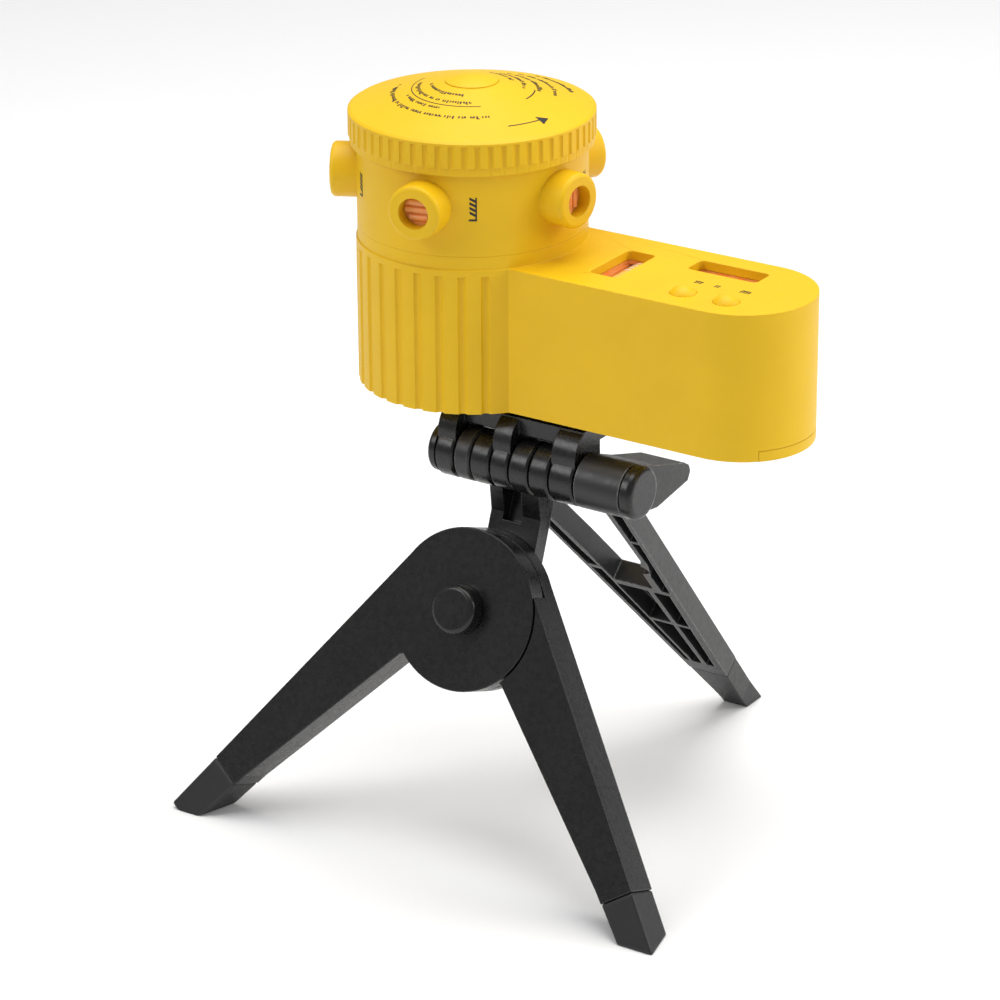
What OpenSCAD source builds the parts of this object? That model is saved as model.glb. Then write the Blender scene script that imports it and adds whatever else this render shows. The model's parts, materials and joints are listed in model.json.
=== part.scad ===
// Pocket laser level with five beam nozzles, on a folding mini tripod.
// Millimetres, +Z up, ground at Z 0, +X along the battery arm and the tripod barrel,
// -Y towards the front pair of legs.

/* [Level] */
// radius of the round turret base
turret_r = 24.4; // [23.6:0.1:25]
// radius of the ring that carries the nozzles
ring_r = 24.1; // [23.6:0.1:24.4]
// radius of the ribbed cap
cap_r = 25.7; // [25.2:0.1:26.6]
// height of the level's underside above the ground
level_z = 95; // [95:0.5:97]
// height of the arm and the fluted base
arm_h = 31.4; // [30:0.2:34]
// width of the battery arm
arm_w = 31; // [30:0.5:32]
// distance from the turret axis to the centre of the arm's round end
arm_len = 64.9; // [64:0.5:72]
// height of the smooth band over the flutes
band_h = 2.9; // [2:0.1:4]
// height of the nozzle ring
ring_h = 17.2; // [17:0.2:20]
// height of the ribbed cap's side
cap_h = 7.5; // [7:0.1:9]
// rise of the cap's shallow cone towards its button
cone_h = 5.2; // [4:0.1:6]
// wall thickness of the housing
wall = 2; // [1.8:0.1:2.4]
// grooves round a full turn of the turret base
flutes = 32; // [24:1:40]
// grooves round the cap
cap_ribs = 60; // [40:1:72]

/* [Nozzles] */
// number of beam nozzles
nozzles = 5; // [5:1:5]
// outer radius of a nozzle
nozzle_r = 5.8; // [5.4:0.1:6]
// radius of the beam opening
beam_r = 3.3; // [2.8:0.1:3.3]
// how far a nozzle stands out of the ring
nozzle_out = 5.2; // [4:0.1:6]
// angle from the arm to the first nozzle
nozzle_a0 = -8.5; // [-12:0.5:0]

/* [Tripod] */
// distance from the turret axis to the neck along the arm
neck_x = 18.2; // [17.6:0.2:19]
// distance of the barrel in front of the level's centreline
barrel_y = -13; // [-14:0.5:-12.5]
// height of the barrel axis over the ground
barrel_z = 83; // [83:0.5:83]
// outer radius of the barrel
barrel_r = 5.75; // [5.5:0.05:6]
// sideways distance from the neck to the hub pin
hub_x = -2.6; // [-3:0.2:0]
// distance from the turret axis to the tripod screw
screw_x = 15; // [13:0.5:16]
// radius of the hinge bolt and the hub pin
pin_r = 2.5; // [2.2:0.1:2.8]
// running clearance round pins
fit = 0.05; // [0.03:0.01:0.08]
// how far the front pair leans forward from the vertical
lean = 20.6; // [18:0.2:23]
// distance from the barrel axis to the hub pin
hub_d = 32; // [31:0.5:33]
// radius of the hub discs
disc_r = 17.2; // [16.5:0.1:17.5]
// angle of the left leg from the middle of the front pair
spread_l = 36.6; // [34:0.1:39]
// angle of the right leg from the middle of the front pair
spread_r = 34.2; // [33:0.1:39]
// angle of the rear leg from the vertical
rear_a = 42; // [38:0.5:44]
// thickness of the rear leg
rear_t = 5; // [4.5:0.1:6]

/* [Hidden] */
$fn = 64;

arm_top = level_z + arm_h;
ring_z = arm_top + band_h;
cap_z = ring_z + ring_h;
cap_top = cap_z + cap_h;
nozzle_z = ring_z + 10.2;
cover_t = 2.2;
board_z = level_z + 15.6;
deck_t = 1.6;
collar_r = ring_r - 2.1;
screw_r = 3.175;
cell_r = 5.25;
cell_l = 44.5;
cell_x = 25.6;
cell_y = 5.6;
cell_z = level_z + cover_t + 6.1;
door_w = 22;
door_x = 23.4;
vial_z = arm_top - 5.2;
cross_x = 36.8;
cross_y = -0.2;
long_x = 57.4;
long_y = 7.4;
button_y = -8.2;
laser_x = 56;
light_x = 66;
button_r = 2.7;
button_top = 1.5;
screw_xy = [[-12, 14], [-12, -14], [4, 17.6], [4, -17.6]];

gap = 0.3;
rim = 0.45;
knuckle = [-16, -11.3, -7.2, -2.3, 2.3, 7.2, 12.1, 18.1];
sleeve_end = 29.1;
bolt_end = 32;
front_n = 4.8;
back_n = -4;
lap = [0, 0.4];
neck_n = -8.3;
foot_a = 68;
lens_h = 5.2;
plate_set = -0.8;
plate_t = 3.6;
pad_t = 1.4;
wheel_y = 0;
plate_z = level_z - pad_t - plate_t;
mid_x = 16.532;
mid_y = 9.568;

yellow = [0.93, 0.76, 0.12];
black = [0.12, 0.12, 0.13];
steel = [0.72, 0.73, 0.75];
amber = [0.95, 0.45, 0.1];
green = [0.1, 0.45, 0.25];
brass = [0.8, 0.62, 0.3];

// the origin sits on the ground under the middle of the whole object
module centred() {
    translate([-mid_x, -mid_y, 0]) children();
}

// ---- level ----
module outline(inset) {
    circle(r = turret_r - inset, $fn = 128);
    translate([0, -arm_w / 2 + inset]) square([arm_len, arm_w - 2 * inset]);
    translate([arm_len, 0]) circle(r = arm_w / 2 - inset, $fn = 96);
}

module arm_outline(inset) {
    translate([0, -arm_w / 2 + inset]) square([arm_len, arm_w - 2 * inset]);
    translate([arm_len, 0]) circle(r = arm_w / 2 - inset, $fn = 96);
}

module flute_cuts() {
    for (i = [0 : flutes - 1]) {
        a = (i + 0.5) * 360 / flutes;
        if (a > 42 && a < 318) {
            rotate([0, 0, a]) translate([turret_r + 0.35, 0, level_z - 1])
                cylinder(r = 0.95, h = arm_h - 0.4, $fn = 20);
        }
    }
}

module door_slot(clear) {
    translate([door_x - clear, -door_w / 2 - clear, level_z - 1])
        cube([arm_len + arm_w, door_w + 2 * clear, cover_t + 1 + clear]);
}

// a vial window with round corners
module window(x, y, lx, ly) {
    c = 1.1;
    translate([x, y, arm_top - 4]) linear_extrude(5) union() {
        square([lx, ly - 2 * c], center = true);
        square([lx - 2 * c, ly], center = true);
        for (i = [-1, 1]) {
            for (j = [-1, 1]) {
                translate([i * (lx / 2 - c), j * (ly / 2 - c)]) circle(r = c, $fn = 24);
            }
        }
    }
}

module main_housing() {
    color(yellow) centred() difference() {
        union() {
            translate([0, 0, level_z]) linear_extrude(arm_h) outline(0);
            translate([0, 0, arm_top - 0.5]) cylinder(r = ring_r, h = band_h + 0.5, $fn = 128);
            translate([0, 0, ring_z]) cylinder(r = collar_r - fit, h = 4, $fn = 128);
        }
        translate([0, 0, level_z - 1]) linear_extrude(arm_h - wall + 1) outline(wall);
        translate([0, 0, arm_top - wall - 1])
            cylinder(r = collar_r - 2, h = band_h + 8, $fn = 96);
        flute_cuts();
        door_slot(0.08);
        window(cross_x, cross_y, 6.6, 15.8);
        window(long_x, long_y, 16.3, 6);
        for (x = [laser_x, light_x]) {
            translate([x, button_y, arm_top - 5]) cylinder(r = button_r + fit, h = 7);
        }
    }
}

module base_cover() {
    color(yellow) centred() difference() {
        union() {
            translate([0, 0, level_z]) linear_extrude(cover_t) outline(wall + 0.1);
            translate([screw_x, 0, level_z]) cylinder(r = 6.6, h = 9.6);
            for (p = screw_xy) {
                translate([p[0], p[1], level_z]) cylinder(r = 2.6, h = 6);
            }
        }
        door_slot(0.08);
        translate([screw_x, 0, level_z - 1]) cylinder(r = 4.6, h = 12);
        for (p = screw_xy) {
            translate([p[0], p[1], level_z - 1]) cylinder(r = 1.15, h = 9);
            translate([p[0], p[1], level_z - 1]) cylinder(r = 2.15, h = 2.6);
        }
    }
}

module threaded_insert() {
    color(brass) centred() translate([screw_x, 0, level_z + 0.2]) difference() {
        union() {
            cylinder(r = 4.6, h = 9.4);
            for (z = [2, 5.6]) {
                translate([0, 0, z]) cylinder(r = 4.6, h = 1.6);
            }
        }
        translate([0, 0, -1]) cylinder(r = screw_r, h = 12);
    }
}

module housing_screws() {
    color(steel) centred() for (p = screw_xy) {
        translate([p[0], p[1], level_z + 0.4]) difference() {
            union() {
                cylinder(r = 1.95, h = 1.1);
                cylinder(r = 1.15, h = 7.2);
            }
            translate([-0.25, -1.2, -0.1]) cube([0.5, 2.4, 0.6]);
            translate([-1.2, -0.25, -0.1]) cube([2.4, 0.5, 0.6]);
        }
    }
}

module battery_door() {
    color(yellow) centred() difference() {
        intersection() {
            door_slot(0);
            translate([0, 0, level_z]) linear_extrude(cover_t) arm_outline(0);
        }
        for (i = [0 : 5]) {
            translate([60 + 1.8 * i, -6, level_z - 0.1]) cube([0.8, 12, 0.6]);
        }
    }
}

module battery_cells() {
    color(steel) centred() for (s = [-1, 1]) {
        x0 = s > 0 ? cell_x : cell_x + 0.8;
        translate([x0, s * cell_y, cell_z]) rotate([0, 90, 0])
            cylinder(r = cell_r, h = cell_l - 0.8);
        x1 = s > 0 ? cell_x + cell_l - 0.9 : cell_x;
        translate([x1, s * cell_y, cell_z]) rotate([0, 90, 0]) cylinder(r = 1.9, h = 0.9);
    }
}

module coil(r, wire, pitch, turns) {
    for (i = [0 : turns - 1]) {
        translate([0, 0, i * pitch]) rotate_extrude($fn = 32)
            translate([r - 0.05 * (i % 2), 0]) circle(r = wire, $fn = 16);
        if (i < turns - 1) {
            translate([(i % 2 == 0 ? 1 : -1) * r, 0, i * pitch])
                cylinder(r = wire * 0.8, h = pitch);
        }
    }
}

module battery_springs() {
    color(steel) centred() {
        translate([cell_x - 2.6, cell_y, cell_z]) rotate([0, 90, 0]) coil(2.6, 0.35, 0.9, 3);
        translate([cell_x + cell_l + 2.6, -cell_y, cell_z]) rotate([0, -90, 0])
            coil(2.6, 0.35, 0.9, 3);
    }
}

module battery_contacts() {
    color(steel) centred() {
        for (s = [-1, 1]) {
            translate([cell_x - 3.5, s * cell_y - 4, cell_z - 4]) cube([0.5, 8, 8]);
        }
        translate([cell_x + cell_l + 3, -9.6, cell_z - 4]) cube([0.5, 19.2, 8]);
        for (s = [-1, 1]) {
            x = s < 0 ? cell_x - 3.2 : cell_x + cell_l + 0.4;
            translate([x, s * cell_y, cell_z])
                rotate([0, 90, 0]) cylinder(r = 1.4, h = 2.8);
        }
    }
}

module circuit_board() {
    color(green) centred() difference() {
        translate([0, 0, board_z]) linear_extrude(deck_t) difference() {
            outline(wall + 0.5);
            translate([-4, 0]) circle(r = 7);
        }
        for (x = [24, 70]) {
            for (y = [-11.5, 11.5]) {
                translate([x, y, board_z - 1]) cylinder(r = 1.1, h = 4);
            }
        }
    }
}

module tact_switches() {
    color(black) centred() for (x = [laser_x, light_x]) {
        translate([x - 3, button_y - 3, board_z + deck_t]) cube([6, 6, 3.5]);
        translate([x, button_y, board_z + deck_t + 3.4]) cylinder(r = 1.7, h = 1);
    }
}

module vial_lamp() {
    color([0.9, 0.95, 1]) centred() for (p = [[cross_x + 7.2, cross_y], [long_x - 12.2, long_y]]) {
        translate([p[0], p[1], board_z + deck_t]) cylinder(r = 1.5, h = 3.4);
        translate([p[0], p[1], board_z + deck_t + 3.4]) sphere(r = 1.5);
    }
}

module vial_tube(len) {
    rotate([0, 90, 0]) translate([0, 0, -len / 2]) difference() {
        union() {
            cylinder(r = 3, h = len);
            for (z = [len / 2 - 2.4, len / 2 + 2.1]) {
                translate([0, 0, z]) cylinder(r = 3.06, h = 0.3);
            }
        }
        translate([0, 0, 1]) cylinder(r = 2.1, h = len - 2);
    }
}

module vial_cross() {
    color([0.75, 0.95, 0.4]) centred() translate([cross_x, cross_y, vial_z]) rotate([0, 0, 90])
        vial_tube(16.8);
}

module vial_long() {
    color([0.75, 0.95, 0.4]) centred() translate([long_x, long_y, vial_z]) vial_tube(16.8);
}

module vial_tray(lx, ly, rot) {
    difference() {
        translate([-lx / 2, -ly / 2, -4.4]) cube([lx, ly, 6.6]);
        rotate([0, 0, rot]) rotate([0, 90, 0]) cylinder(r = 3.15, h = 17.2, center = true);
        rotate([0, 0, rot]) translate([-8.6, -3.1, 0]) cube([17.2, 6.2, 4]);
    }
}

module vial_tray_cross() {
    color(amber) centred() translate([cross_x, cross_y, vial_z]) vial_tray(9.6, 19.4, 90);
}

module vial_tray_long() {
    color(amber) centred() translate([long_x, long_y, vial_z]) vial_tray(19.4, 8.4, 0);
}

module dome_button() {
    cylinder(r = button_r, h = 8.6);
    translate([0, 0, 1]) cylinder(r = button_r + 0.9, h = 1.2);
    translate([0, 0, 8.6]) intersection() {
        translate([0, 0, button_top - 3.2]) sphere(r = 3.2);
        cylinder(r = button_r, h = 3);
    }
}

module laser_button() {
    color(yellow) centred() translate([laser_x, button_y, arm_top - 8.6]) dome_button();
}

module light_button() {
    color(yellow) centred() translate([light_x, button_y, arm_top - 8.6]) dome_button();
}

module nozzle_ring() {
    color(yellow) centred() difference() {
        union() {
            translate([0, 0, ring_z]) cylinder(r = ring_r, h = ring_h, $fn = 128);
            for (i = [0 : nozzles - 1]) {
                rotate([0, 0, nozzle_a0 + i * 72]) translate([ring_r - 4, 0, nozzle_z])
                    rotate([0, 90, 0]) round_cap(nozzle_r, 4 + nozzle_out, 0.9);
            }
        }
        translate([0, 0, ring_z - 1]) cylinder(r = collar_r, h = 5.4, $fn = 128);
        translate([0, 0, ring_z + 3]) cylinder(r = collar_r - 1, h = ring_h, $fn = 128);
        translate([0, 0, cap_z - 2.4]) cylinder(r = collar_r, h = 4, $fn = 128);
        for (i = [0 : nozzles - 1]) {
            rotate([0, 0, nozzle_a0 + i * 72]) translate([ring_r - 8, 0, nozzle_z])
                rotate([0, 90, 0]) cylinder(r = beam_r, h = 16);
            rotate([0, 0, nozzle_a0 + i * 72]) translate([0, 0, nozzle_z])
                rotate([0, 90, 0]) translate([0, 0, ring_r - 8]) cylinder(r = 4.4, h = 6.9);
        }
    }
}

module at_nozzle(i) {
    rotate([0, 0, nozzle_a0 + i * 72]) translate([ring_r - 2.9, 0, nozzle_z])
        rotate([0, 90, 0]) children();
}

module lens_disc() {
    cylinder(r = 4.35, h = 1.6);
    cylinder(r = beam_r - 0.1, h = lens_h);
}

module lens_rods(rot) {
    rotate([0, 0, rot]) for (y = [-1.6, 0, 1.6]) {
        translate([0, y, lens_h]) rotate([0, 90, 0])
            cylinder(r = 0.7, h = y == 0 ? 5.8 : 4, center = true);
    }
}

module lens_dot() {
    color(amber) centred() at_nozzle(2) union() {
        lens_disc();
        translate([0, 0, lens_h - 0.1]) cylinder(r = 1.6, h = 0.7);
    }
}

module lens_vertical() {
    color(amber) centred() at_nozzle(0) union() {
        lens_disc();
        lens_rods(0);
    }
}

module lens_horizontal() {
    color(amber) centred() at_nozzle(4) union() {
        lens_disc();
        lens_rods(90);
    }
}

module lens_cross() {
    color(amber) centred() at_nozzle(1) union() {
        lens_disc();
        lens_rods(0);
        lens_rods(90);
    }
}

module lens_grid() {
    color(amber) centred() at_nozzle(3) union() {
        lens_disc();
        for (x = [-1.5, 0, 1.5]) {
            for (y = [-1.5, 0, 1.5]) {
                translate([x, y, lens_h - 0.1]) cylinder(r = 0.45, h = 0.6);
            }
        }
    }
}

module detent_spring() {
    color(steel) centred() for (s = [0, 180]) {
        rotate([0, 0, s + 30]) translate([18.2, -3, ring_z + 4.4]) union() {
            cube([0.5, 6, 1.6]);
            translate([0.2, 3, 0]) cylinder(r = 0.9, h = 1.6);
            for (y = [0, 5.5]) {
                translate([0, y, 0]) cube([2.5, 0.5, 1.6]);
            }
        }
    }
}

module selector_cap() {
    color(yellow) centred() difference() {
        union() {
            translate([0, 0, cap_z + 0.3]) cylinder(r = cap_r - 0.35, h = cap_h - 0.9, $fn = 128);
            translate([0, 0, cap_z + 2]) cylinder(r = cap_r, h = cap_h - 2.4, $fn = 128);
            translate([0, 0, cap_top - 0.4])
                cylinder(r1 = cap_r, r2 = cap_r - 0.6, h = 0.4, $fn = 128);
            translate([0, 0, cap_top]) cylinder(r1 = cap_r - 0.6, r2 = 6.2, h = cone_h, $fn = 128);
            translate([0, 0, cap_z - 2]) cylinder(r = collar_r - fit, h = 4, $fn = 128);
        }
        translate([0, 0, cap_z - 3]) cylinder(r = collar_r - 2, h = cap_h + 0.8, $fn = 96);
        translate([0, 0, cap_top - 2.3])
            cylinder(r1 = collar_r - 2, r2 = 8, h = cone_h + 0.1, $fn = 96);
        translate([0, 0, cap_z]) cylinder(r = 5.5 + fit, h = cap_h + cone_h + 2);
        for (i = [0 : cap_ribs - 1]) {
            rotate([0, 0, i * 360 / cap_ribs]) translate([cap_r + 0.22, 0, cap_z])
                cylinder(r = 0.66, h = cap_h - 0.9, $fn = 20);
        }
    }
}

module cap_button() {
    color(yellow) centred() translate([0, 0, cap_top + cone_h - 4.6]) union() {
        cylinder(r = 5.5, h = 4.8);
        translate([0, 0, 1]) cylinder(r = 7, h = 1.2);
        translate([0, 0, 4.8]) intersection() {
            translate([0, 0, 1 - 15.6]) sphere(r = 15.6, $fn = 96);
            cylinder(r = 5.5, h = 2);
        }
    }
}

module cap_spring() {
    color(steel) centred() translate([0, 0, cap_top - 2.3]) coil(4, 0.35, 1.25, 3);
}

module laser_carrier() {
    color(black) centred() difference() {
        union() {
            translate([0, 0, cap_z - 2]) cylinder(r = collar_r - 2.05, h = 1.6, $fn = 96);
            translate([0, 0, ring_z - 1]) cylinder(r = 7, h = cap_top - 1.7 - ring_z);
            rotate([0, 0, nozzle_a0 - 72]) translate([-6, -5.2, nozzle_z - 5.2])
                cube([21, 10.4, 8]);
        }
        translate([0, 0, ring_z - 2]) cylinder(r = 3, h = 6);
        rotate([0, 0, nozzle_a0 - 72]) translate([-7, 0, nozzle_z]) rotate([0, 90, 0])
            cylinder(r = 3.25, h = 30);
    }
}

module laser_module() {
    color(brass) centred() rotate([0, 0, nozzle_a0 - 72]) translate([0, 0, nozzle_z])
        rotate([0, 90, 0]) difference() {
            translate([0, 0, -6]) cylinder(r = 3.2, h = 21);
            translate([0, 0, 10]) cylinder(r = 2.2, h = 6);
        }
}

module laser_lens() {
    color([0.8, 0.9, 1]) centred() rotate([0, 0, nozzle_a0 - 72]) translate([0, 0, nozzle_z])
        rotate([0, 90, 0]) translate([0, 0, 11.5]) cylinder(r = 2.2, h = 2.2);
}

// ---- tripod ----
// moves its children to the middle of the barrel
module at_barrel() {
    centred() translate([neck_x, barrel_y, barrel_z]) children();
}

// a length of barrel from a to b along X
module along(a, b, r) {
    translate([a, 0, 0]) rotate([0, 90, 0]) cylinder(r = r, h = b - a);
}

// a barrel knuckle from a to b along X with chamfered rims
module ring(a, b) {
    along(a + rim, b - rim, barrel_r);
    translate([a, 0, 0]) rotate([0, 90, 0]) cylinder(r1 = barrel_r - rim, r2 = barrel_r, h = rim);
    translate([b - rim, 0, 0]) rotate([0, 90, 0])
        cylinder(r1 = barrel_r, r2 = barrel_r - rim, h = rim);
}

// a disc standing on Z 0 with its far rim rounded
module round_cap(r, h, edge) {
    cylinder(r = r, h = h - edge);
    cylinder(r = r - edge, h = h);
    translate([0, 0, h - edge]) rotate_extrude($fn = 96) translate([r - edge, 0])
        circle(r = edge, $fn = 32);
}

// x to the right, y up the plane of the front pair, z out of its front face
module at_hub() {
    at_barrel() rotate([90 - lean, 0, 0]) translate([hub_x, -hub_d, 0]) children();
}

// side outline of an arm that curls from a knuckle up to the plate
module arm_profile() {
    intersection() {
        translate([2.1, 4.7]) circle(r = 6.3, $fn = 96);
        translate([-8, 0]) square([barrel_r + 7.9, plate_z - barrel_z + plate_t]);
    }
}

module top_plate() {
    color(black) difference() {
        union() {
            centred() translate([neck_x + knuckle[0], barrel_y + plate_set, plate_z])
                cube([knuckle[7] - gap - knuckle[0], 27.5 - plate_set, plate_t]);
            for (k = [[knuckle[0], knuckle[1]], [knuckle[3], knuckle[4]], [knuckle[6], knuckle[7]]]) {
                at_barrel() ring(k[0], k[1] - gap);
                at_barrel() translate([k[0], 0, 0]) rotate([90, 0, 90])
                    linear_extrude(k[1] - k[0] - gap) arm_profile();
            }
            for (k = [[knuckle[1], knuckle[3]], [knuckle[4], knuckle[6]]]) {
                at_barrel() translate([k[0] - gap - 0.2, 1, 3.6])
                    cube([k[1] - k[0] + gap + 0.4, 4.6, plate_z - barrel_z - 3.4]);
            }
        }
        at_barrel() along(-30, 30, pin_r + fit);
        centred() translate([screw_x, wheel_y, plate_z - 1]) cylinder(r = screw_r + 0.1, h = 8);
        at_barrel() along(knuckle[1] - gap, knuckle[3], barrel_r + 0.4);
        at_barrel() along(knuckle[4] - gap, knuckle[6], barrel_r + 0.4);
    }
}

module plate_pad() {
    color([0.2, 0.2, 0.2]) centred() difference() {
        translate([neck_x + knuckle[0] + 1, barrel_y + plate_set + 1, level_z - pad_t])
            cube([knuckle[7] - knuckle[0] - 2, 25.5 - plate_set, pad_t - 0.05]);
        translate([screw_x, wheel_y, level_z - 5]) cylinder(r = 5.6, h = 8);
    }
}

module tripod_screw() {
    color(steel) centred() translate([screw_x, wheel_y, plate_z - 5.2]) difference() {
        union() {
            cylinder(r = screw_r - fit, h = 16);
            cylinder(r = 4.4, h = 1.4);
        }
        translate([0, 0, 15.4]) cylinder(r = 1.2, h = 2);
    }
}

module screw_wheel() {
    color(black) centred() translate([screw_x, wheel_y, plate_z - 4.6]) difference() {
        cylinder(r = 6.4, h = 4.2);
        translate([0, 0, -1]) cylinder(r = screw_r - fit, h = 8);
        translate([0, 0, -1]) cylinder(r = 4.4, h = 1.8);
        for (i = [0 : 17]) {
            rotate([0, 0, i * 20]) translate([6.1, -0.5, -1]) cube([1, 1, 6]);
        }
    }
}

module screw_ring() {
    color(steel) centred() translate([screw_x, wheel_y, level_z - pad_t + 0.1]) difference() {
        cylinder(r = 5.2, h = 0.8);
        translate([0, 0, -1]) cylinder(r = screw_r - fit, h = 4);
    }
}

module hinge_bolt() {
    color(steel) at_barrel() along(knuckle[0] + 1.4, sleeve_end + 1.6, pin_r);
}

module spacer_ring() {
    color(black) at_barrel() difference() {
        ring(knuckle[5], knuckle[6] - gap);
        along(knuckle[5] - 1, knuckle[6], pin_r + fit);
    }
}

module hinge_nut() {
    color(black) at_barrel() difference() {
        union() {
            translate([knuckle[0] - gap, 0, 0]) rotate([0, -90, 0])
                round_cap(barrel_r - 0.4, 1.9, 0.9);
            along(knuckle[0] - 0.4, knuckle[0] + 1.4, pin_r);
        }
        along(knuckle[0] - 4, knuckle[0] - 1.5, 1.6);
    }
}

module bolt_cap() {
    color(black) at_barrel() difference() {
        translate([sleeve_end + gap, 0, 0]) rotate([0, 90, 0])
            round_cap(barrel_r, bolt_end - sleeve_end - gap, 1.3);
        along(sleeve_end - 1, sleeve_end + 1.6, pin_r);
    }
}

// the neck's outline seen from the side, first value up the plane, second out of it
module neck_profile() {
    polygon([[0, -4.3], [0, neck_n], [24.6, neck_n], [33, -5.2], [33, 0], [27.2, -1.2], [21, -4.3]]);
}

module neck_bracket() {
    color(black) difference() {
        union() {
            at_barrel() ring(knuckle[2], knuckle[3] - gap);
            at_barrel() ring(knuckle[4], knuckle[5] - gap);
            at_hub() translate([-5.6 - hub_x, 0, 0]) rotate([90, 0, 90])
                linear_extrude(knuckle[5] - gap + 5.4) neck_profile();
            at_hub() translate([0, 0, neck_n]) cylinder(r = 8, h = -neck_n - 4.3);
        }
        at_barrel() along(-30, 30, pin_r + fit);
        at_hub() translate([0, 0, -12]) cylinder(r = pin_r + fit, h = 18);
        at_hub() translate([knuckle[3] - gap + 0.1 - hub_x, 19.4, -6.7])
            cube([knuckle[4] - knuckle[3] + gap - 0.2, 20, 12]);
    }
}

module hub_pin() {
    color(steel) at_hub() union() {
        translate([0, 0, neck_n - 0.6]) cylinder(r = pin_r, h = front_n - neck_n + 2.6);
        translate([0, 0, neck_n - 1.3]) cylinder(r = 4.4, h = 1.3);
        translate([0, 0, neck_n - 1.7]) cylinder(r = 3.6, h = 0.5);
    }
}

module pin_cap() {
    color(black) at_hub() translate([0, 0, front_n + 0.3]) difference() {
        round_cap(5.2, 3.8, 1.1);
        translate([0, 0, -1]) cylinder(r = pin_r, h = 2.7);
    }
}

// direction of a front leg, s is -1 for the left and 1 for the right
function leg_dir(s) = s < 0 ? -90 - spread_l : -90 + spread_r;

// outline of a front leg
module leg_shape(s) {
    rotate([0, 0, leg_dir(s)]) scale([1, 1])
        polygon([[0, s * 17.15], [84, s * 16.4], [90, s * 16.2], [90, s * 11], [77.7, s * 9.3],
            [65, s * 8.6], [18, s * 3], [4, -s * 5], [0, 0]]);
}

module ground_cut() {
    translate([-200, -200, -60]) cube([400, 400, 60]);
}

// everything past the joint line between leg and foot
module foot_zone(s, extra) {
    rotate([0, 0, leg_dir(s)]) translate([foot_a - extra, -40, -20])
        cube([60, 80, 40]);
}

module front_blade(s) {
    difference() {
        union() {
            translate([0, 0, back_n]) linear_extrude(front_n - back_n) leg_shape(s);
            translate([0, 0, s < 0 ? lap[1] : back_n])
                cylinder(r = disc_r, h = s < 0 ? front_n - lap[1] : lap[0] - back_n, $fn = 96);
        }
        translate([0, 0, s < 0 ? back_n - 1 : lap[0]])
            cylinder(r = disc_r + 0.4, h = s < 0 ? lap[1] - back_n + 1 : 20, $fn = 96);
        translate([0, 0, -9]) cylinder(r = pin_r + fit, h = 18);
    }
}

module front_leg(s) {
    color(black) difference() {
        at_hub() difference() {
            front_blade(s);
            foot_zone(s, 0);
        }
        ground_cut();
    }
}

module foot_tip(s) {
    color([0.16, 0.16, 0.17]) difference() {
        at_hub() intersection() {
            front_blade(s);
            foot_zone(s, 0);
            rotate([0, 0, leg_dir(s)])
                translate([40, s > 0 ? 2 : -30, -20]) cube([43.4, 28, 40]);
        }
        ground_cut();
    }
}

module left_leg() {
    front_leg(-1);
}

module right_leg() {
    front_leg(1);
}

module left_foot() {
    foot_tip(-1);
}

module right_foot() {
    foot_tip(1);
}

// x along the barrel, y down the rear leg, z away from its ribbed inner face
module at_rear() {
    at_barrel() rotate([rear_a - 90, 0, 0]) children();
}

module rear_outline() {
    polygon([[-10.5, 0], [24.4, 0], [21.4, 12], [14.4, 108], [14.4, 122], [8.4, 122], [7.8, 108.5],
        [-6, 26.5], [-9.6, 20.5]]);
}

module rear_window() {
    polygon([[-6.2, -1], [16.6, -1], [15.6, 38], [13.4, 44], [13, 52.6], [2.8, 52.6], [1, 40],
        [-1.4, 27], [-2.1, 23], [-6, 21]]);
    translate([13.8, 43]) circle(r = 2);
}

// bays between the ribs
module rear_pockets() {
    polygon([[-5.3, 24.5], [-3.1, 24.5], [-2.5, 27], [-0.2, 40], [1.4, 47], [-1.5, 47]]);
    polygon([[-1.2, 48.4], [1.5, 48.4], [7.2, 91], [6, 91]]);
    polygon([[2.8, 54.4], [11, 54.4], [10.7, 70.2], [4.9, 70.2]]);
    polygon([[5.1, 71.2], [10.7, 71.2], [10.4, 91], [8, 91]]);
    polygon([[12.2, 54.4], [16.4, 54.4], [15.2, 70.2], [11.9, 70.2]]);
    polygon([[11.8, 71.2], [15.1, 71.2], [13.7, 91], [11.5, 91]]);
    polygon([[17.6, 14], [20.3, 14], [19.2, 28], [17.1, 28]]);
    polygon([[17, 29], [19.1, 29], [17.2, 52.8], [15, 52.8], [15.1, 46], [16.8, 40]]);
}

module rear_ground() {
    translate([-300, -300, -60]) cube([600, 600, 60]);
}

module rear_blade() {
    difference() {
        linear_extrude(rear_t) rear_outline();
        translate([0, 0, -1]) linear_extrude(rear_t + 2) rear_window();
        translate([0, 0, -0.1]) linear_extrude(rear_t - 1.1) rear_pockets();
    }
}

module sleeve_lug() {
    at_barrel() translate([knuckle[7] + gap, 0, 0]) rotate([90, 0, 90])
        linear_extrude(sleeve_end - knuckle[7] - gap) union() {
            circle(r = barrel_r);
            polygon([[0, barrel_r], [2, 5.4], [9.1, 2.6], [20.8, -0.9], [22.6, -2], [23.2, -3.6],
                [22.2, -5.4], [10, -7.2], [0, -barrel_r]]);
        }
}

module rear_leg() {
    color(black) difference() {
        union() {
            at_barrel() ring(knuckle[1], knuckle[2] - gap);
            sleeve_lug();
            at_rear() rear_blade();
        }
        at_barrel() along(-30, 50, pin_r + fit);
        at_barrel() along(knuckle[2] - gap, knuckle[7] + gap, barrel_r + 0.8);
        at_rear() translate([-20, 95, -20]) cube([80, 60, 60]);
        rear_ground();
    }
}

module rear_foot() {
    color([0.16, 0.16, 0.17]) difference() {
        at_rear() intersection() {
            linear_extrude(rear_t) rear_outline();
            translate([-20, 95, -20]) cube([80, 60, 60]);
        }
        rear_ground();
    }
}

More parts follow.
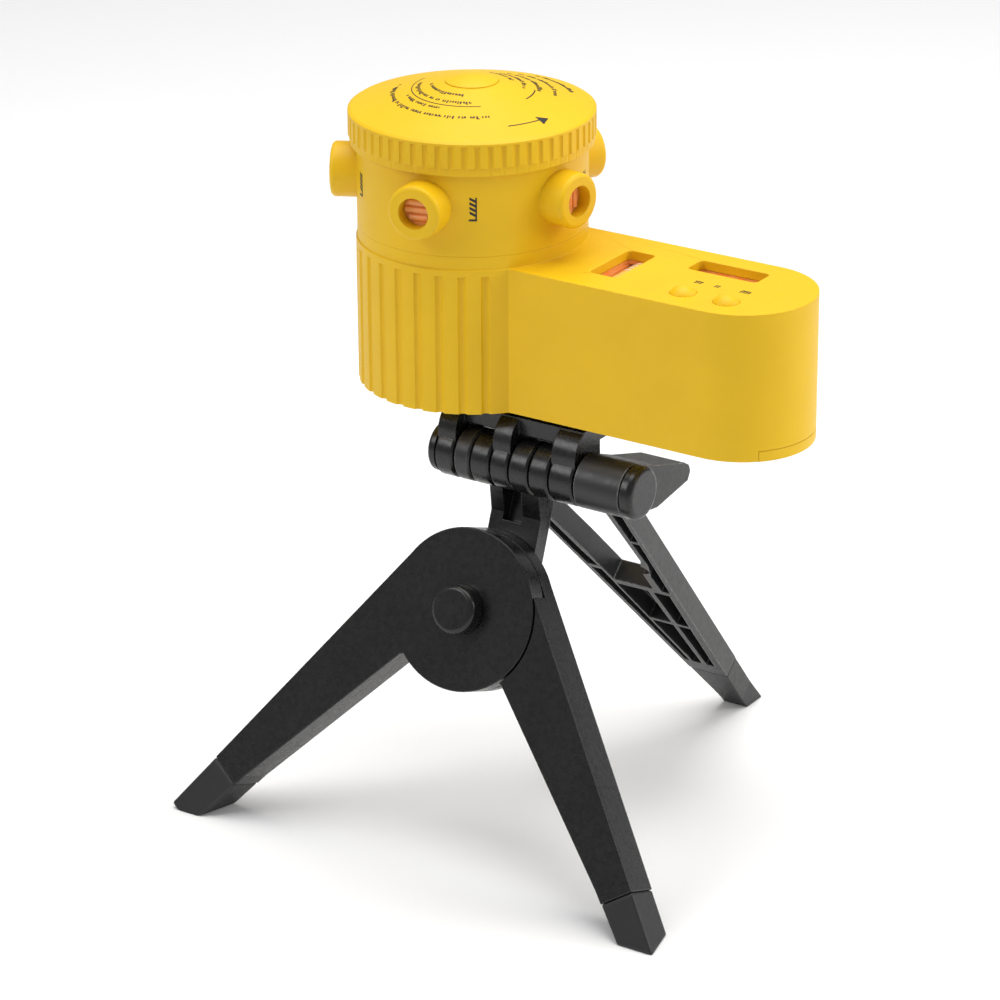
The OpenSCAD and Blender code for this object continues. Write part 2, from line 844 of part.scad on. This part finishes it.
main_housing();
base_cover();
threaded_insert();
housing_screws();
battery_door();
battery_cells();
battery_springs();
battery_contacts();
circuit_board();
tact_switches();
vial_lamp();
vial_cross();
vial_long();
vial_tray_cross();
vial_tray_long();
laser_button();
light_button();
nozzle_ring();
lens_dot();
lens_horizontal();
lens_vertical();
lens_cross();
lens_grid();
detent_spring();
selector_cap();
cap_button();
cap_spring();
laser_carrier();
laser_module();
laser_lens();
top_plate();
plate_pad();
tripod_screw();
screw_wheel();
screw_ring();
hinge_bolt();
hinge_nut();
spacer_ring();
bolt_cap();
neck_bracket();
hub_pin();
pin_cap();
left_leg();
left_foot();
right_leg();
right_foot();
rear_leg();
rear_foot();
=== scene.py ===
"""Looks for the laser level on its tripod: materials, fine pieces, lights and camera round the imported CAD."""

import json
import math
import random

import bmesh
import bpy
from mathutils import Matrix, Vector


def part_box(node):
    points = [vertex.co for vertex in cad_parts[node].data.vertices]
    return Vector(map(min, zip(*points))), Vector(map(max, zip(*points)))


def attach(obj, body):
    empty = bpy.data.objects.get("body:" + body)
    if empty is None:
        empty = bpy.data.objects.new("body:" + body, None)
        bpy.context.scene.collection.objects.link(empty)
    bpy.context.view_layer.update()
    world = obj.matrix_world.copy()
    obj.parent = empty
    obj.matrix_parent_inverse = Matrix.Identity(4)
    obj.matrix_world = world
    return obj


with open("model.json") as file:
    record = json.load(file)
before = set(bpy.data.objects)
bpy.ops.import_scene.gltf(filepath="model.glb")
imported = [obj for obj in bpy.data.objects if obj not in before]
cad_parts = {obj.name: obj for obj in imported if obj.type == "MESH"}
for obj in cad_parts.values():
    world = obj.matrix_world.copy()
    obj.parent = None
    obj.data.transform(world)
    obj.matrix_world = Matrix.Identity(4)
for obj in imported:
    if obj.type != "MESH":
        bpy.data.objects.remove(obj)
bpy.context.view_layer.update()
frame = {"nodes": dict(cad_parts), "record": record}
RECORD = frame["record"]
NODES = frame["nodes"]
MM = 0.001
random.seed(7)


# ---------------------------------------------------------------- materials

def node_material(name):
    """A new material with its node tree emptied down to the shader and the output."""
    material = bpy.data.materials.new(name)
    material.use_nodes = True
    tree = material.node_tree
    shader = tree.nodes["Principled BSDF"]
    return material, tree, shader


def object_coords(tree, scale):
    """Object coordinates, stretched so that textures are stated in millimetres."""
    coords = tree.nodes.new("ShaderNodeTexCoord")
    mapping = tree.nodes.new("ShaderNodeMapping")
    mapping.inputs["Scale"].default_value = (scale, scale, scale)
    tree.links.new(coords.outputs["Object"], mapping.inputs["Vector"])
    return mapping.outputs["Vector"]


def noise(tree, vector, size_mm, detail=3.0, rough=0.55):
    texture = tree.nodes.new("ShaderNodeTexNoise")
    texture.inputs["Scale"].default_value = 1.0 / size_mm
    texture.inputs["Detail"].default_value = detail
    texture.inputs["Roughness"].default_value = rough
    tree.links.new(vector, texture.inputs["Vector"])
    return texture.outputs["Fac"]


def remap(tree, value, from_low, from_high, to_low, to_high):
    node = tree.nodes.new("ShaderNodeMapRange")
    for socket, number in (("From Min", from_low), ("From Max", from_high),
                           ("To Min", to_low), ("To Max", to_high)):
        node.inputs[socket].default_value = number
    tree.links.new(value, node.inputs["Value"])
    return node.outputs["Result"]


def mix_colour(tree, factor, first, second):
    node = tree.nodes.new("ShaderNodeMix")
    node.data_type = "RGBA"
    for socket, value in ((6, first), (7, second)):
        if isinstance(value, tuple):
            node.inputs[socket].default_value = (*value, 1)
        else:
            tree.links.new(value, node.inputs[socket])
    tree.links.new(factor, node.inputs[0])
    return node.outputs[2]


def edge_mask(tree, radius_mm):
    """0 on flat faces, towards 1 on sharp edges: how far a rounded normal leans from the true one."""
    bevel = tree.nodes.new("ShaderNodeBevel")
    bevel.samples = 4
    bevel.inputs["Radius"].default_value = radius_mm * MM
    geometry = tree.nodes.new("ShaderNodeNewGeometry")
    dot = tree.nodes.new("ShaderNodeVectorMath")
    dot.operation = "DOT_PRODUCT"
    tree.links.new(bevel.outputs["Normal"], dot.inputs[0])
    tree.links.new(geometry.outputs["Normal"], dot.inputs[1])
    return remap(tree, dot.outputs["Value"], 0.995, 0.8, 0.0, 1.0)


def moulded_plastic(name, colour, shade, edge, roughness, grain_mm=0.35, bump=0.02,
                    wear_and_sheen=0.6, specular=0.5, sheen_mix=0.12, edge_mm=0.35, soft_mm=0.25):
    """Moulded plastic: slow colour drift, fine grain, paler edges and uneven gloss. The paler edges are rubbed
    wear, and on the rear leg's black they are a painted highlight.
    """
    material, tree, shader = node_material(name)
    vector = object_coords(tree, 1 / MM)
    drift = noise(tree, vector, 14.0)
    speck = noise(tree, vector, 1.3, 5.0)
    grain = noise(tree, vector, grain_mm, 4.0, 0.6)
    base = mix_colour(tree, remap(tree, drift, 0.35, 0.65, 0.0, 1.0), colour, shade)
    # Paler edges: rubbed wear on most plastics; on the rear leg, whose edge colour is far lighter than its
    # body, a painted highlight.
    rubbed_and_sheen = tree.nodes.new("ShaderNodeMath")
    rubbed_and_sheen.operation = "MULTIPLY"
    tree.links.new(edge_mask(tree, edge_mm), rubbed_and_sheen.inputs[0])
    tree.links.new(remap(tree, speck, 0.35, 0.65, 0.15 * wear_and_sheen, wear_and_sheen), rubbed_and_sheen.inputs[1])
    base = mix_colour(tree, rubbed_and_sheen.outputs[0], base, edge)
    tree.links.new(base, shader.inputs["Base Color"])
    gloss = remap(tree, speck, 0.3, 0.7, roughness - sheen_mix / 2, roughness + sheen_mix / 2)
    tree.links.new(gloss, shader.inputs["Roughness"])
    relief = tree.nodes.new("ShaderNodeBump")
    relief.inputs["Strength"].default_value = bump * 10
    relief.inputs["Distance"].default_value = 0.02 * MM
    tree.links.new(grain, relief.inputs["Height"])
    softened = tree.nodes.new("ShaderNodeBevel")
    softened.samples = 8
    softened.inputs["Radius"].default_value = soft_mm * MM
    tree.links.new(softened.outputs["Normal"], relief.inputs["Normal"])
    tree.links.new(relief.outputs["Normal"], shader.inputs["Normal"])
    shader.inputs["Specular IOR Level"].default_value = specular
    return material


def worked_metal(name, colour, shade, roughness, line_mm):
    """Plated or turned metal with fine tool lines and a duller film in patches."""
    material, tree, shader = node_material(name)
    vector = object_coords(tree, 1 / MM)
    film = noise(tree, vector, 5.0)
    lines = noise(tree, vector, line_mm, 6.0, 0.7)
    base = mix_colour(tree, remap(tree, film, 0.35, 0.65, 0.0, 1.0), colour, shade)
    base = mix_colour(tree, edge_mask(tree, 0.2), base, tuple(min(1, c * 1.3) for c in colour))
    tree.links.new(base, shader.inputs["Base Color"])
    tree.links.new(remap(tree, lines, 0.3, 0.7, roughness - 0.08, roughness + 0.1),
                   shader.inputs["Roughness"])
    shader.inputs["Metallic"].default_value = 1.0
    relief = tree.nodes.new("ShaderNodeBump")
    relief.inputs["Strength"].default_value = 0.2
    relief.inputs["Distance"].default_value = 0.01 * MM
    tree.links.new(lines, relief.inputs["Height"])
    tree.links.new(relief.outputs["Normal"], shader.inputs["Normal"])
    return material


def clear_tinted(name, colour, shade, roughness, transmission, ior=1.49):
    """Tinted acrylic or glass with faint flow marks and duller, scuffed edges."""
    material, tree, shader = node_material(name)
    vector = object_coords(tree, 1 / MM)
    flow = noise(tree, vector, 2.5)
    base = mix_colour(tree, remap(tree, flow, 0.35, 0.65, 0.0, 1.0), colour, shade)
    scuffed = tuple(min(1.0, 0.75 * c + 0.22) for c in colour)
    base = mix_colour(tree, remap(tree, edge_mask(tree, 0.2), 0.0, 1.0, 0.0, 0.6), base, scuffed)
    tree.links.new(base, shader.inputs["Base Color"])
    tree.links.new(remap(tree, flow, 0.3, 0.7, roughness, roughness + 0.06),
                   shader.inputs["Roughness"])
    shader.inputs["Transmission Weight"].default_value = transmission
    shader.inputs["IOR"].default_value = ior
    relief = tree.nodes.new("ShaderNodeBump")
    relief.inputs["Strength"].default_value = 0.1
    relief.inputs["Distance"].default_value = 0.02 * MM
    tree.links.new(flow, relief.inputs["Height"])
    tree.links.new(relief.outputs["Normal"], shader.inputs["Normal"])
    return material


MATERIALS = {
    "yellow_plastic": moulded_plastic("yellow_plastic", (0.79, 0.485, 0.006), (0.76, 0.465, 0.006),
                                      (0.86, 0.54, 0.03), 0.46, bump=0.012, wear_and_sheen=0.35, specular=0.3),
    "black_plastic": moulded_plastic("black_plastic", (0.0055, 0.0055, 0.0058), (0.008, 0.008, 0.0083),
                                     (0.035, 0.035, 0.036), 0.28, bump=0.015, wear_and_sheen=0.5,
                                     specular=0.45),
    # The rear leg's black: a lighter body and pale grey edges, a painted sheen that stands in for the
    # reflections lighting its ribs and right side face.
    "rear_leg_painted_sheen_black": moulded_plastic("rear_leg_painted_sheen_black", (0.012, 0.012, 0.0125), (0.017, 0.017, 0.0175),
                                    (0.34, 0.34, 0.34), 0.4, bump=0.05, wear_and_sheen=1.1,
                                    specular=0.5, edge_mm=0.5, soft_mm=0.12),
    "foot_plastic": moulded_plastic("foot_plastic", (0.0085, 0.0085, 0.009), (0.0115, 0.0115, 0.012),
                                    (0.045, 0.045, 0.046), 0.44, bump=0.04, wear_and_sheen=0.5),
    "pad_rubber": moulded_plastic("pad_rubber", (0.018, 0.018, 0.018), (0.026, 0.026, 0.026),
                                  (0.06, 0.06, 0.06), 0.75, bump=0.06, wear_and_sheen=0.3, specular=0.3),
    "steel": worked_metal("steel", (0.56, 0.57, 0.58), (0.46, 0.47, 0.49), 0.30, 0.25),
    "cell_jacket": moulded_plastic("cell_jacket", (0.05, 0.12, 0.3), (0.04, 0.1, 0.26),
                                   (0.4, 0.42, 0.45), 0.32, bump=0.01, wear_and_sheen=0.4),
    "brass": worked_metal("brass", (0.72, 0.50, 0.18), (0.62, 0.42, 0.15), 0.28, 0.2),
    "board": moulded_plastic("board", (0.012, 0.14, 0.05), (0.010, 0.11, 0.04),
                             (0.3, 0.26, 0.12), 0.38, bump=0.02, wear_and_sheen=0.6),
    "amber_plastic": clear_tinted("amber_plastic", (1.0, 0.34, 0.07), (1.0, 0.46, 0.16), 0.12, 0.12),
    "vial_acrylic": clear_tinted("vial_acrylic", (0.98, 0.62, 0.16), (0.96, 0.5, 0.1), 0.12, 0.12),
    "lamp_lens": clear_tinted("lamp_lens", (0.9, 0.93, 0.97), (0.84, 0.88, 0.94), 0.06, 0.85),
}

SLOT_OF = {part["node"]: part["material_slot"] for part in RECORD["subparts"]}
# The rear leg takes the lighter black with painted sheen in place of its slot's black plastic.
LOOK_OF = dict(SLOT_OF, rear_leg="rear_leg_painted_sheen_black")
EDGE_MM = {"main_housing": 0.5,
           "top_plate": 0.35, "neck_bracket": 0.35, "rear_leg": 0.28, "rear_foot": 0.4,
           "left_leg": 0.5, "right_leg": 0.5, "left_foot": 0.6, "right_foot": 0.6,
           "plate_pad": 0.3}


def dress_nodes():
    """Gives each CAD node its material, and rounds the sharp edges of the moulded ones."""
    for node_name, node in NODES.items():
        node.data.materials.clear()
        node.data.materials.append(MATERIALS[LOOK_OF[node_name]])
        if node_name not in EDGE_MM:
            continue
        weld = node.modifiers.new("weld", "WELD")
        weld.merge_threshold = 1e-6
        bevel = node.modifiers.new("round_edges", "BEVEL")
        bevel.width = EDGE_MM[node_name] * MM
        bevel.segments = 3
        bevel.limit_method = "ANGLE"
        bevel.angle_limit = math.radians(40)
        bevel.use_clamp_overlap = True
        weighted = node.modifiers.new("face_normals", "WEIGHTED_NORMAL")
        weighted.keep_sharp = True


dress_nodes()

# ---------------------------------------------------------------- fine pieces

INK = moulded_plastic("ink", (0.012, 0.012, 0.012), (0.02, 0.018, 0.015), (0.06, 0.05, 0.03), 0.5,
                      bump=0.02, wear_and_sheen=0.2)
WHITE_INK = moulded_plastic("white_ink", (0.8, 0.8, 0.78), (0.74, 0.74, 0.72), (0.9, 0.9, 0.9), 0.5,
                            bump=0.02, wear_and_sheen=0.2)
LIQUID = clear_tinted("vial_liquid", (0.72, 0.93, 0.12), (0.62, 0.86, 0.10), 0.03, 0.75, 1.36)
BUBBLE = clear_tinted("vial_bubble", (0.97, 1.0, 0.8), (0.92, 0.98, 0.7), 0.02, 0.6, 1.1)


def add_piece(name, mesh, material, body):
    piece = bpy.data.objects.new(name, mesh)
    bpy.context.collection.objects.link(piece)
    mesh.materials.append(material)
    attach(piece, body)
    return piece


def mesh_from(bm, name):
    bmesh.ops.recalc_face_normals(bm, faces=bm.faces)
    mesh = bpy.data.meshes.new(name)
    bm.to_mesh(mesh)
    bm.free()
    return mesh


def slab(bm, outline, height, place):
    """A thin printed patch: an outline in the local XY plane, raised by height, put through place."""
    low = [bm.verts.new(place @ Vector((x, y, 0))) for x, y in outline]
    high = [bm.verts.new(place @ Vector((x, y, height))) for x, y in outline]
    bm.faces.new(high)
    bm.faces.new(low[::-1])
    for i in range(len(outline)):
        j = (i + 1) % len(outline)
        bm.faces.new((low[i], low[j], high[j], high[i]))


CAP_LO, CAP_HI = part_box("selector_cap")
CAP_AXIS = (CAP_LO + CAP_HI) / 2
CONE_BASE_R, CONE_TOP_R = 25.1 * MM, 6.2 * MM
CONE_H = 5.2 * MM
INK_MM = 0.05


def cone_height(radius):
    """Height of the cap's cone at a distance from its axis."""
    part = (CONE_BASE_R - radius) / (CONE_BASE_R - CONE_TOP_R)
    return CAP_HI.z - CONE_H + CONE_H * max(0.0, min(1.0, part))


def cone_strip(bm, radii, angles):
    """A thin printed patch on the cone between two radii and two angles, in steps of a few degrees."""
    steps = max(1, int(abs(angles[1] - angles[0]) / 4))
    rows = []
    for i in range(steps + 1):
        t = math.radians(angles[0] + (angles[1] - angles[0]) * i / steps)
        row = []
        for r in radii:
            for lift in (-0.02, INK_MM):
                row.append(bm.verts.new((CAP_AXIS.x + r * math.cos(t), CAP_AXIS.y + r * math.sin(t),
                                         cone_height(r) + lift * MM)))
        rows.append(row)
    for (a, b, c, d), (e, f, g, h) in zip(rows, rows[1:]):
        for quad in ((a, b, f, e), (b, d, h, f), (d, c, g, h), (c, a, e, g)):
            bm.faces.new(quad)
    for row in (rows[0], rows[-1]):
        bm.faces.new((row[0], row[1], row[3], row[2]))


def mark_row(bm, radius, start, end, height, chooser):
    """A row of small strokes along an arc, as generic print in place of words."""
    angle = start
    degree = math.degrees(1.0 / radius)
    while angle < end:
        if chooser.random() < 0.13:
            angle += 0.55 * MM * degree
            continue
        tall = height * chooser.choice((0.62, 0.62, 0.7, 1.0))
        wide = chooser.uniform(0.2, 0.42) * MM * degree
        cone_strip(bm, (radius - height / 2, radius - height / 2 + tall), (angle, angle + wide))
        if chooser.random() < 0.5:
            cap = radius - height / 2 + tall
            cone_strip(bm, (cap - 0.2 * MM, cap), (angle + wide, angle + wide * 1.9))
        angle += wide + chooser.uniform(0.24, 0.4) * MM * degree


def print_cap():
    """Two groups of arcs of generic marks, and the arrow that says which way the cap turns."""
    chooser = random.Random(3)
    bm = bmesh.new()
    for radius, start, end, height in ((16.4, -170, -44, 1.0), (13.7, -133, -82, 0.85),
                                       (11.1, -163, -57, 0.95), (8.4, -147, -70, 0.9),
                                       (8.6, 50, 96, 1.0), (10.9, 26, 92, 1.0), (14.0, 30, 92, 1.1),
                                       (17.3, 30, 88, 1.0), (21.3, 45, 84, 1.1)):
        mark_row(bm, radius * MM, start, end, height * MM, chooser)
    cone_strip(bm, (12.3 * MM, 12.48 * MM), (-184, -48))
    cone_strip(bm, (12.9 * MM, 13.15 * MM), (2, 30))
    cone_strip(bm, (20.05 * MM, 20.3 * MM), (-35, -13))
    add_piece("cap_print", mesh_from(bm, "cap_print"), INK, "selector")
    bm = bmesh.new()
    tip = []
    for r, a in ((20.6, -7.5), (18.9, -13.5), (21.8, -14.3)):
        t = math.radians(a)
        tip.append((CAP_AXIS.x + r * MM * math.cos(t), CAP_AXIS.y + r * MM * math.sin(t), r * MM))
    low = [bm.verts.new((x, y, cone_height(r) - 0.02 * MM)) for x, y, r in tip]
    high = [bm.verts.new((x, y, cone_height(r) + INK_MM * MM)) for x, y, r in tip]
    bm.faces.new(high)
    bm.faces.new(low[::-1])
    for k in range(3):
        j = (k + 1) % 3
        bm.faces.new((low[k], low[j], high[j], high[k]))
    add_piece("cap_arrow", mesh_from(bm, "cap_arrow"), INK, "selector")


RING_R = 24.1 * MM
NOZZLE_START = -8.5
NOZZLE_Z = CAP_LO.z + 2 * MM - 7.0 * MM
SYMBOL_FROM_NOZZLE = 24.5


def print_ring():
    """A small generic symbol on the ring, beside each nozzle: a stack of leaning bars."""
    bm = bmesh.new()
    for i in range(5):
        angle = math.radians(NOZZLE_START + 72 * i + SYMBOL_FROM_NOZZLE)
        out = Vector((math.cos(angle), math.sin(angle), 0))
        side = Vector((-math.sin(angle), math.cos(angle), 0))
        origin = Vector((CAP_AXIS.x, CAP_AXIS.y, NOZZLE_Z)) + out * (RING_R - 0.02 * MM)
        place = Matrix.Translation(origin) @ Matrix((side, Vector((0, 0, 1)), out)).transposed().to_4x4()
        for bar in range(4):
            low = (-1.5 + bar * 1.0) * MM
            slab(bm, [(-0.75 * MM, low + 0.55 * MM), (0.45 * MM, low - 0.1 * MM),
                      (0.45 * MM, low + 0.45 * MM), (-0.75 * MM, low + 1.1 * MM)], 0.06 * MM, place)
        slab(bm, [(0.45 * MM, -2.1 * MM), (0.75 * MM, -2.1 * MM), (0.75 * MM, 2.5 * MM),
                  (0.45 * MM, 2.5 * MM)], 0.06 * MM, place)
        slab(bm, [(-0.9 * MM, -2.5 * MM), (0.75 * MM, -2.5 * MM), (0.75 * MM, -2.1 * MM),
                  (-0.9 * MM, -2.1 * MM)], 0.06 * MM, place)
    add_piece("ring_print", mesh_from(bm, "ring_print"), INK, "beam_ring")


def print_arm():
    """Three tiny generic marks between the buttons and the long vial."""
    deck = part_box("vial_long")[1].z + 2.14 * MM
    first = (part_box("laser_button")[0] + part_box("laser_button")[1]) / 2
    second = (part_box("light_button")[0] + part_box("light_button")[1]) / 2
    bm = bmesh.new()
    for x, strokes in ((first.x - 0.4 * MM, 3), (first.x + 4.0 * MM, 2), (second.x + 0.5 * MM, 4)):
        place = Matrix.Translation(Vector((x, first.y + 6.6 * MM, deck)))
        for k in range(strokes):
            at = (k - (strokes - 1) / 2) * 0.62 * MM
            slab(bm, [(at - 0.14 * MM, -0.6 * MM), (at + 0.14 * MM, -0.6 * MM),
                      (at + 0.3 * MM, 0.6 * MM), (at, 0.6 * MM)], INK_MM * MM, place)
        if strokes > 2:
            slab(bm, [(-0.9 * MM, 0.5 * MM), (0.9 * MM, 0.5 * MM), (0.9 * MM, 0.72 * MM),
                      (-0.9 * MM, 0.72 * MM)], INK_MM * MM, place)
    return bm


def lathe(bm, profile, place, steps=48):
    """Turns a profile of (radius, height) points about local Z."""
    rings = []
    for radius, height in profile:
        if radius < 1e-7:
            rings.append([bm.verts.new(place @ Vector((0, 0, height)))])
            continue
        rings.append([bm.verts.new(place @ Vector((radius * math.cos(2 * math.pi * k / steps),
                                                   radius * math.sin(2 * math.pi * k / steps), height)))
                      for k in range(steps)])
    for lower, upper in zip(rings, rings[1:]):
        for k in range(steps):
            j = (k + 1) % steps
            corners = [lower[k % len(lower)], lower[j % len(lower)], upper[j % len(upper)],
                       upper[k % len(upper)]]
            unique = list(dict.fromkeys(corners))
            if len(unique) > 2:
                bm.faces.new(unique)


def smooth(piece):
    for face in piece.data.polygons:
        face.use_smooth = True


VIAL_BORE_R = 2.05 * MM
END_WALL = 1.05 * MM
END_ROUND = 0.2 * MM
BUBBLE_R, BUBBLE_HALF = 1.15 * MM, 2.1 * MM
BUBBLE_LIFT = 0.75 * MM
SCALE_R = 3.02 * MM
SCALE_RAISED = 0.04 * MM
SCALE_HALF_WIDTH = 0.16 * MM
SCALE_HALF_ANGLE = 42
SCALE_MARKS = (-7, -5.6, -4.2, -2.8, 2.8, 4.2, 5.6, 7)


def fill_vial(node, along_y):
    """Liquid and a bubble inside one vial, and white scale lines over it."""
    low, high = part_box(node)
    middle = (low + high) / 2
    turn = Matrix.Rotation(math.radians(90), 4, "Y")
    if along_y:
        turn = Matrix.Rotation(math.radians(-90), 4, "X")
    place = Matrix.Translation(middle) @ turn
    length = (high.y - low.y) if along_y else (high.x - low.x)
    half = length / 2 - END_WALL
    radius = VIAL_BORE_R
    bm = bmesh.new()
    lathe(bm, [(0, -half), (radius * 0.9, -half), (radius, -half + END_ROUND),
               (radius, half - END_ROUND), (radius * 0.9, half), (0, half)], place)
    liquid = add_piece(node + "_liquid", mesh_from(bm, node + "_liquid"), LIQUID, "level")
    smooth(liquid)
    bm = bmesh.new()
    lift = Matrix.Translation(Vector((0, 0, BUBBLE_LIFT)))
    profile = []
    for k in range(13):
        t = math.pi * k / 12
        profile.append((BUBBLE_R * math.sin(t), -BUBBLE_HALF * math.cos(t)))
    profile[0], profile[-1] = (0, profile[0][1]), (0, profile[-1][1])
    lathe(bm, profile, lift @ place, 32)
    bubble = add_piece(node + "_bubble", mesh_from(bm, node + "_bubble"), BUBBLE, "level")
    smooth(bubble)
    bm = bmesh.new()
    for mark in SCALE_MARKS:
        at = mark * MM
        steps = 10
        previous = None
        for k in range(steps + 1):
            t = math.radians(-SCALE_HALF_ANGLE + 2 * SCALE_HALF_ANGLE * k / steps)
            y, z = SCALE_R * math.sin(t), SCALE_R * math.cos(t)
            ends = []
            for shift in (at - SCALE_HALF_WIDTH, at + SCALE_HALF_WIDTH):
                for raise_by in (0, SCALE_RAISED):
                    yy, zz = y * (1 + raise_by / SCALE_R), z * (1 + raise_by / SCALE_R)
                    point = Vector((yy, shift, zz)) if along_y else Vector((shift, yy, zz))
                    ends.append(bm.verts.new(middle + point))
            if previous:
                a, b, c, d = previous
                e, f, g, h = ends
                for quad in ((a, b, f, e), (b, d, h, f), (d, c, g, h), (c, a, e, g)):
                    bm.faces.new(quad)
            else:
                bm.faces.new((ends[0], ends[1], ends[3], ends[2]))
            previous = ends
        bm.faces.new((previous[0], previous[2], previous[3], previous[1]))
    add_piece(node + "_scale", mesh_from(bm, node + "_scale"), WHITE_INK if along_y else INK,
              "level")


WINDOW_CORNER_R = 1.1 * MM
FRAME_CLEAR, FRAME_WALL = 0.05 * MM, 0.9 * MM
FRAME_FOOT, FRAME_TOP = 0.02 * MM, 0.92 * MM


def window_frame(node, half_x, half_y):
    """The amber frame that closes the gap between a vial's tray and the roof of the arm."""
    low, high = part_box(node)
    middle = (low + high) / 2
    floor_z, roof_z = high.z + FRAME_FOOT, high.z + FRAME_TOP
    bm = bmesh.new()
    loops = []
    for z in (floor_z, roof_z):
        for grow in (FRAME_CLEAR, FRAME_WALL):
            x, y = half_x * MM + grow, half_y * MM + grow
            corner = WINDOW_CORNER_R + grow
            points = []
            for cx, cy, start in ((x - corner, y - corner, 0), (corner - x, y - corner, 90),
                                  (corner - x, corner - y, 180), (x - corner, corner - y, 270)):
                for k in range(7):
                    t = math.radians(start + 15 * k)
                    points.append(bm.verts.new((middle.x + cx + corner * math.cos(t),
                                                middle.y + cy + corner * math.sin(t), z)))
            loops.append(points)
    lower_in, lower_out, upper_in, upper_out = loops
    count = len(lower_in)
    for k in range(count):
        j = (k + 1) % count
        for first, second in ((lower_in, upper_in), (upper_in, upper_out), (upper_out, lower_out),
                              (lower_out, lower_in)):
            bm.faces.new((first[k], first[j], second[j], second[k]))
    add_piece(node + "_frame", mesh_from(bm, node + "_frame"), MATERIALS["amber_plastic"],
              "level")


window_frame("vial_tray_cross", 3.3, 7.9)
window_frame("vial_tray_long", 8.15, 3.0)
print_cap()
print_ring()
add_piece("arm_print", mesh_from(print_arm(), "arm_print"), INK, "level")
fill_vial("vial_cross", True)
fill_vial("vial_long", False)

# ---------------------------------------------------------------- stage, lights and camera

def make_floor():
    floor_mesh = bpy.data.meshes.new("floor")
    half = 3.0
    floor_mesh.from_pydata([(-half, -half, 0), (half, -half, 0), (half, half, 0), (-half, half, 0)],
                           [], [(0, 1, 2, 3)])
    floor = bpy.data.objects.new("floor", floor_mesh)
    bpy.context.collection.objects.link(floor)
    material, tree, shader = node_material("pale_floor")
    vector = object_coords(tree, 1 / MM)
    base = mix_colour(tree, noise(tree, vector, 90.0), (0.90, 0.90, 0.90), (0.92, 0.92, 0.92))
    tree.links.new(base, shader.inputs["Base Color"])
    shader.inputs["Roughness"].default_value = 0.9
    floor_mesh.materials.append(material)


def area_light(name, place, target, width, height, power):
    data = bpy.data.lights.new(name, "AREA")
    data.shape = "RECTANGLE"
    data.size, data.size_y = width, height
    data.energy = power
    light = bpy.data.objects.new(name, data)
    bpy.context.collection.objects.link(light)
    light.location = place
    light.rotation_mode = "QUATERNION"
    light.rotation_quaternion = (Vector(target) - Vector(place)).to_track_quat("-Z", "Y")


def make_lights():
    world = bpy.data.worlds.new("studio")
    world.use_nodes = True
    background = world.node_tree.nodes["Background"]
    background.inputs["Color"].default_value = (1, 1, 1, 1)
    background.inputs["Strength"].default_value = 0.36
    bpy.context.scene.world = world
    middle = (0, 0, 0.08)
    area_light("top", (0.0, 0.1, 1.0), middle, 0.9, 0.9, 9.5)
    area_light("key", (-0.45, -0.72, 0.7), middle, 0.42, 0.42, 2.6)
    area_light("rim", (0.75, 0.35, 0.5), middle, 0.5, 0.5, 3.6)


def make_camera():
    """A long lens, above and to the right of the front pair of legs."""
    azimuth, elevation, roll = math.radians(33.5), math.radians(22.82), math.radians(-0.385)
    data = bpy.data.cameras.new("camera")
    data.sensor_width = 36.0
    data.lens = 151.2
    data.clip_start, data.clip_end = 0.05, 20.0
    camera = bpy.data.objects.new("camera", data)
    bpy.context.collection.objects.link(camera)
    right = Vector((math.cos(azimuth), math.sin(azimuth), 0))
    forward = Vector((-math.sin(azimuth) * math.cos(elevation),
                      math.cos(azimuth) * math.cos(elevation), -math.sin(elevation)))
    up = right.cross(forward)
    tilted_right = right * math.cos(roll) + up * math.sin(roll)
    tilted_up = up * math.cos(roll) - right * math.sin(roll)
    turn = Matrix((tilted_right, tilted_up, -forward)).transposed().to_4x4()
    camera.matrix_world = Matrix.Translation(Vector((445.4, -698.0, 414.5)) * MM) @ turn
    bpy.context.scene.camera = camera


make_floor()
make_lights()
make_camera()
bpy.context.scene.view_settings.view_transform = "Standard"
